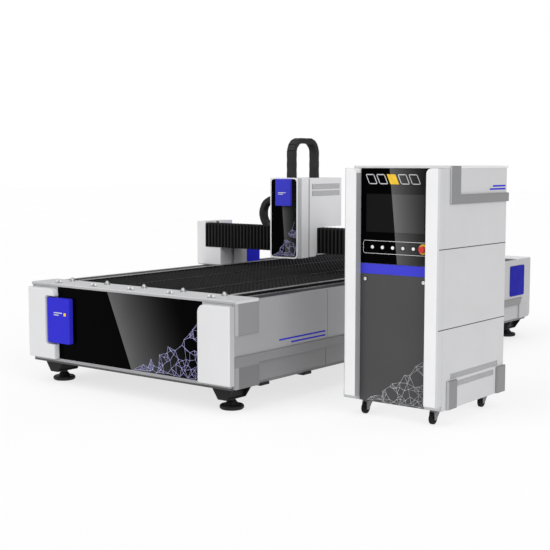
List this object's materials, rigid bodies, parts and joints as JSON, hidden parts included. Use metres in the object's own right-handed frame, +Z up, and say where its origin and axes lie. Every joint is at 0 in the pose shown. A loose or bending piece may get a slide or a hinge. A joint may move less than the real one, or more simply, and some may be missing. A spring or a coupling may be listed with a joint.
{
  "type": "fiber laser cutting machine",
  "caption": "Flat-bed cutting machine with a slatted table, a travelling gantry with pleated bellows, a carriage with a cutting head and a control cabinet on castors",
  "frame": {"origin": "on the floor, under the middle of the box round bed and cabinet", "axes": "+X across the bed towards the cabinet, +Y along the bed to its rear end, +Z up"},
  "size_m": [3.642, 4.9, 2.042],
  "materials": {
    "cover_white": "satin powder coat",
    "frame_dark": "black paint",
    "girder_white": "satin powder coat",
    "panel_black": "gloss",
    "accent_blue": "satin",
    "band_grey": "satin",
    "trim_grey": "satin",
    "foot_black": "black paint",
    "slat_steel": "dark scaled steel",
    "rail_steel": "ground",
    "ball_steel": "polished",
    "strip_dark": "satin",
    "bellows_black": "coated cloth",
    "chain_black": "matt",
    "motor_black": "satin",
    "screen_dark": "gloss",
    "button_white": "gloss",
    "stop_red": "gloss",
    "tread_black": "matt",
    "bare_steel": "zinc plated"
  },
  "bodies": {
    "base": {"bed_frame": "frame_dark", "levelling_feet": "foot_black", "front_end_cap": "cover_white", "front_panel": "panel_black", "front_corner_covers": "cover_white", "bed_badges": "accent_blue", "side_panels": "cover_white", "side_bands": "band_grey", "rear_end_cover": "cover_white", "support_slats": "slat_steel", "slat_rails": "strip_dark", "scrap_trays": "slat_steel", "guide_rails": "rail_steel", "rail_cover_strips": "strip_dark", "ball_units": "ball_steel", "cabinet_shell": "cover_white", "cabinet_covers": "cover_white", "control_panel": "panel_black", "monitor": "screen_dark", "cabinet_door": "panel_black", "cabinet_trim": "trim_grey", "cabinet_equipment": "bare_steel", "castor_plates": "bare_steel"},
    "gantry": {"gantry_saddles": "bare_steel", "gantry_beam": "girder_white", "gantry_end_covers": "cover_white", "gantry_end_caps": "accent_blue", "travel_motors": "motor_black", "cross_rails": "rail_steel", "bellows_left": "bellows_black", "bellows_right": "bellows_black", "cross_chain": "chain_black"},
    "carriage": {"carriage_plate": "bare_steel", "carriage_motor": "motor_black", "head_cover": "cover_white", "head_panel": "panel_black", "head_badge": "accent_blue", "carriage_housing": "cover_white", "loop_chain": "chain_black"},
    "head": {"cutting_head": "rail_steel"},
    "drive_pinion_left": {"drive_pinion_left": "rail_steel"},
    "drive_pinion_right": {"drive_pinion_right": "rail_steel"},
    "cross_pinion": {"cross_pinion": "rail_steel"},
    "emergency_stop": {"emergency_stop": "stop_red"},
    "door_lock_left": {"door_lock_left": "bare_steel"},
    "door_lock_right": {"door_lock_right": "bare_steel"},
    "keyboard_drawer": {"keyboard_drawer": "accent_blue"},
    "button_1": {"button_1": "button_white"},
    "button_2": {"button_2": "button_white"},
    "button_3": {"button_3": "button_white"},
    "button_4": {"button_4": "button_white"},
    "button_5": {"button_5": "button_white"},
    "castor_fork_front_left": {"castor_fork_front_left": "bare_steel"},
    "castor_fork_front_right": {"castor_fork_front_right": "bare_steel"},
    "castor_fork_rear_left": {"castor_fork_rear_left": "bare_steel"},
    "castor_fork_rear_right": {"castor_fork_rear_right": "bare_steel"},
    "castor_wheel_front_left": {"castor_wheel_front_left": "tread_black"},
    "castor_wheel_front_right": {"castor_wheel_front_right": "tread_black"},
    "castor_wheel_rear_left": {"castor_wheel_rear_left": "tread_black"},
    "castor_wheel_rear_right": {"castor_wheel_rear_right": "tread_black"}
  },
  "joints": [
    {"name": "gantry_slide", "type": "slide", "parent": "base", "child": "gantry", "axis": [0, 1, 0], "range_m": [-1.5, 1.5]},
    {"name": "carriage_slide", "type": "slide", "parent": "gantry", "child": "carriage", "axis": [1, 0, 0], "range_m": [-0.886, 0.614], "deforming": ["bellows_left", "bellows_right", "cross_chain"]},
    {"name": "head_slide", "type": "slide", "parent": "carriage", "child": "head", "axis": [0, 0, 1], "range_m": [-0.145, 0]},
    {"name": "drive_pinion_left_turn", "type": "hinge", "parent": "gantry", "child": "drive_pinion_left", "pos_m": [-1.5513, 0.24, 0.805], "axis": [0, 0, 1], "range_deg": [-5400, 5400]},
    {"name": "drive_pinion_right_turn", "type": "hinge", "parent": "gantry", "child": "drive_pinion_right", "pos_m": [0.2293, 0.24, 0.805], "axis": [0, 0, 1], "range_deg": [-5400, 5400]},
    {"name": "cross_pinion_turn", "type": "hinge", "parent": "carriage", "child": "cross_pinion", "pos_m": [-0.525, -0.2465, 1.1063], "axis": [0, 1, 0], "range_deg": [-3240, 2340]},
    {"name": "button_1_press", "type": "slide", "parent": "base", "child": "button_1", "axis": [0, 1, 0], "range_m": [0, 0.003], "stiffness_N_per_m": 400, "springref_m": -0.002},
    {"name": "button_2_press", "type": "slide", "parent": "base", "child": "button_2", "axis": [0, 1, 0], "range_m": [0, 0.003], "stiffness_N_per_m": 400, "springref_m": -0.002},
    {"name": "button_3_press", "type": "slide", "parent": "base", "child": "button_3", "axis": [0, 1, 0], "range_m": [0, 0.003], "stiffness_N_per_m": 400, "springref_m": -0.002},
    {"name": "button_4_press", "type": "slide", "parent": "base", "child": "button_4", "axis": [0, 1, 0], "range_m": [0, 0.003], "stiffness_N_per_m": 400, "springref_m": -0.002},
    {"name": "button_5_press", "type": "slide", "parent": "base", "child": "button_5", "axis": [0, 1, 0], "range_m": [0, 0.003], "stiffness_N_per_m": 400, "springref_m": -0.002},
    {"name": "emergency_stop_press", "type": "slide", "parent": "base", "child": "emergency_stop", "axis": [0, 1, 0], "range_m": [0, 0.005], "stiffness_N_per_m": 1000, "springref_m": -0.002},
    {"name": "keyboard_drawer_slide", "type": "slide", "parent": "base", "child": "keyboard_drawer", "axis": [0, -1, 0], "range_m": [0, 0.28]},
    {"name": "door_lock_left_turn", "type": "hinge", "parent": "base", "child": "door_lock_left", "pos_m": [1.18, -1.82, 0.999], "axis": [0, 1, 0], "range_deg": [0, 90]},
    {"name": "door_lock_right_turn", "type": "hinge", "parent": "base", "child": "door_lock_right", "pos_m": [1.658, -1.82, 0.999], "axis": [0, 1, 0], "range_deg": [0, 90]},
    {"name": "castor_front_left_swivel", "type": "hinge", "parent": "base", "child": "castor_fork_front_left", "pos_m": [1.138, -1.71, 0.104], "axis": [0, 0, 1], "continuous": true},
    {"name": "castor_front_left_roll", "type": "hinge", "parent": "castor_fork_front_left", "child": "castor_wheel_front_left", "pos_m": [1.138, -1.74, 0.042], "axis": [1, 0, 0], "continuous": true},
    {"name": "castor_front_right_swivel", "type": "hinge", "parent": "base", "child": "castor_fork_front_right", "pos_m": [1.7, -1.71, 0.104], "axis": [0, 0, 1], "continuous": true},
    {"name": "castor_front_right_roll", "type": "hinge", "parent": "castor_fork_front_right", "child": "castor_wheel_front_right", "pos_m": [1.7, -1.74, 0.042], "axis": [1, 0, 0], "continuous": true},
    {"name": "castor_rear_left_swivel", "type": "hinge", "parent": "base", "child": "castor_fork_rear_left", "pos_m": [1.138, -0.994, 0.104], "axis": [0, 0, 1], "continuous": true},
    {"name": "castor_rear_left_roll", "type": "hinge", "parent": "castor_fork_rear_left", "child": "castor_wheel_rear_left", "pos_m": [1.138, -1.024, 0.042], "axis": [1, 0, 0], "continuous": true},
    {"name": "castor_rear_right_swivel", "type": "hinge", "parent": "base", "child": "castor_fork_rear_right", "pos_m": [1.7, -0.994, 0.104], "axis": [0, 0, 1], "continuous": true},
    {"name": "castor_rear_right_roll", "type": "hinge", "parent": "castor_fork_rear_right", "child": "castor_wheel_rear_right", "pos_m": [1.7, -1.024, 0.042], "axis": [1, 0, 0], "continuous": true}
  ],
  "couplings": [
    {"joint": "drive_pinion_left_turn", "follows": "gantry_slide", "rad_per_m": -62.5},
    {"joint": "drive_pinion_right_turn", "follows": "gantry_slide", "rad_per_m": 62.5},
    {"joint": "cross_pinion_turn", "follows": "carriage_slide", "rad_per_m": 62.5}
  ]
}
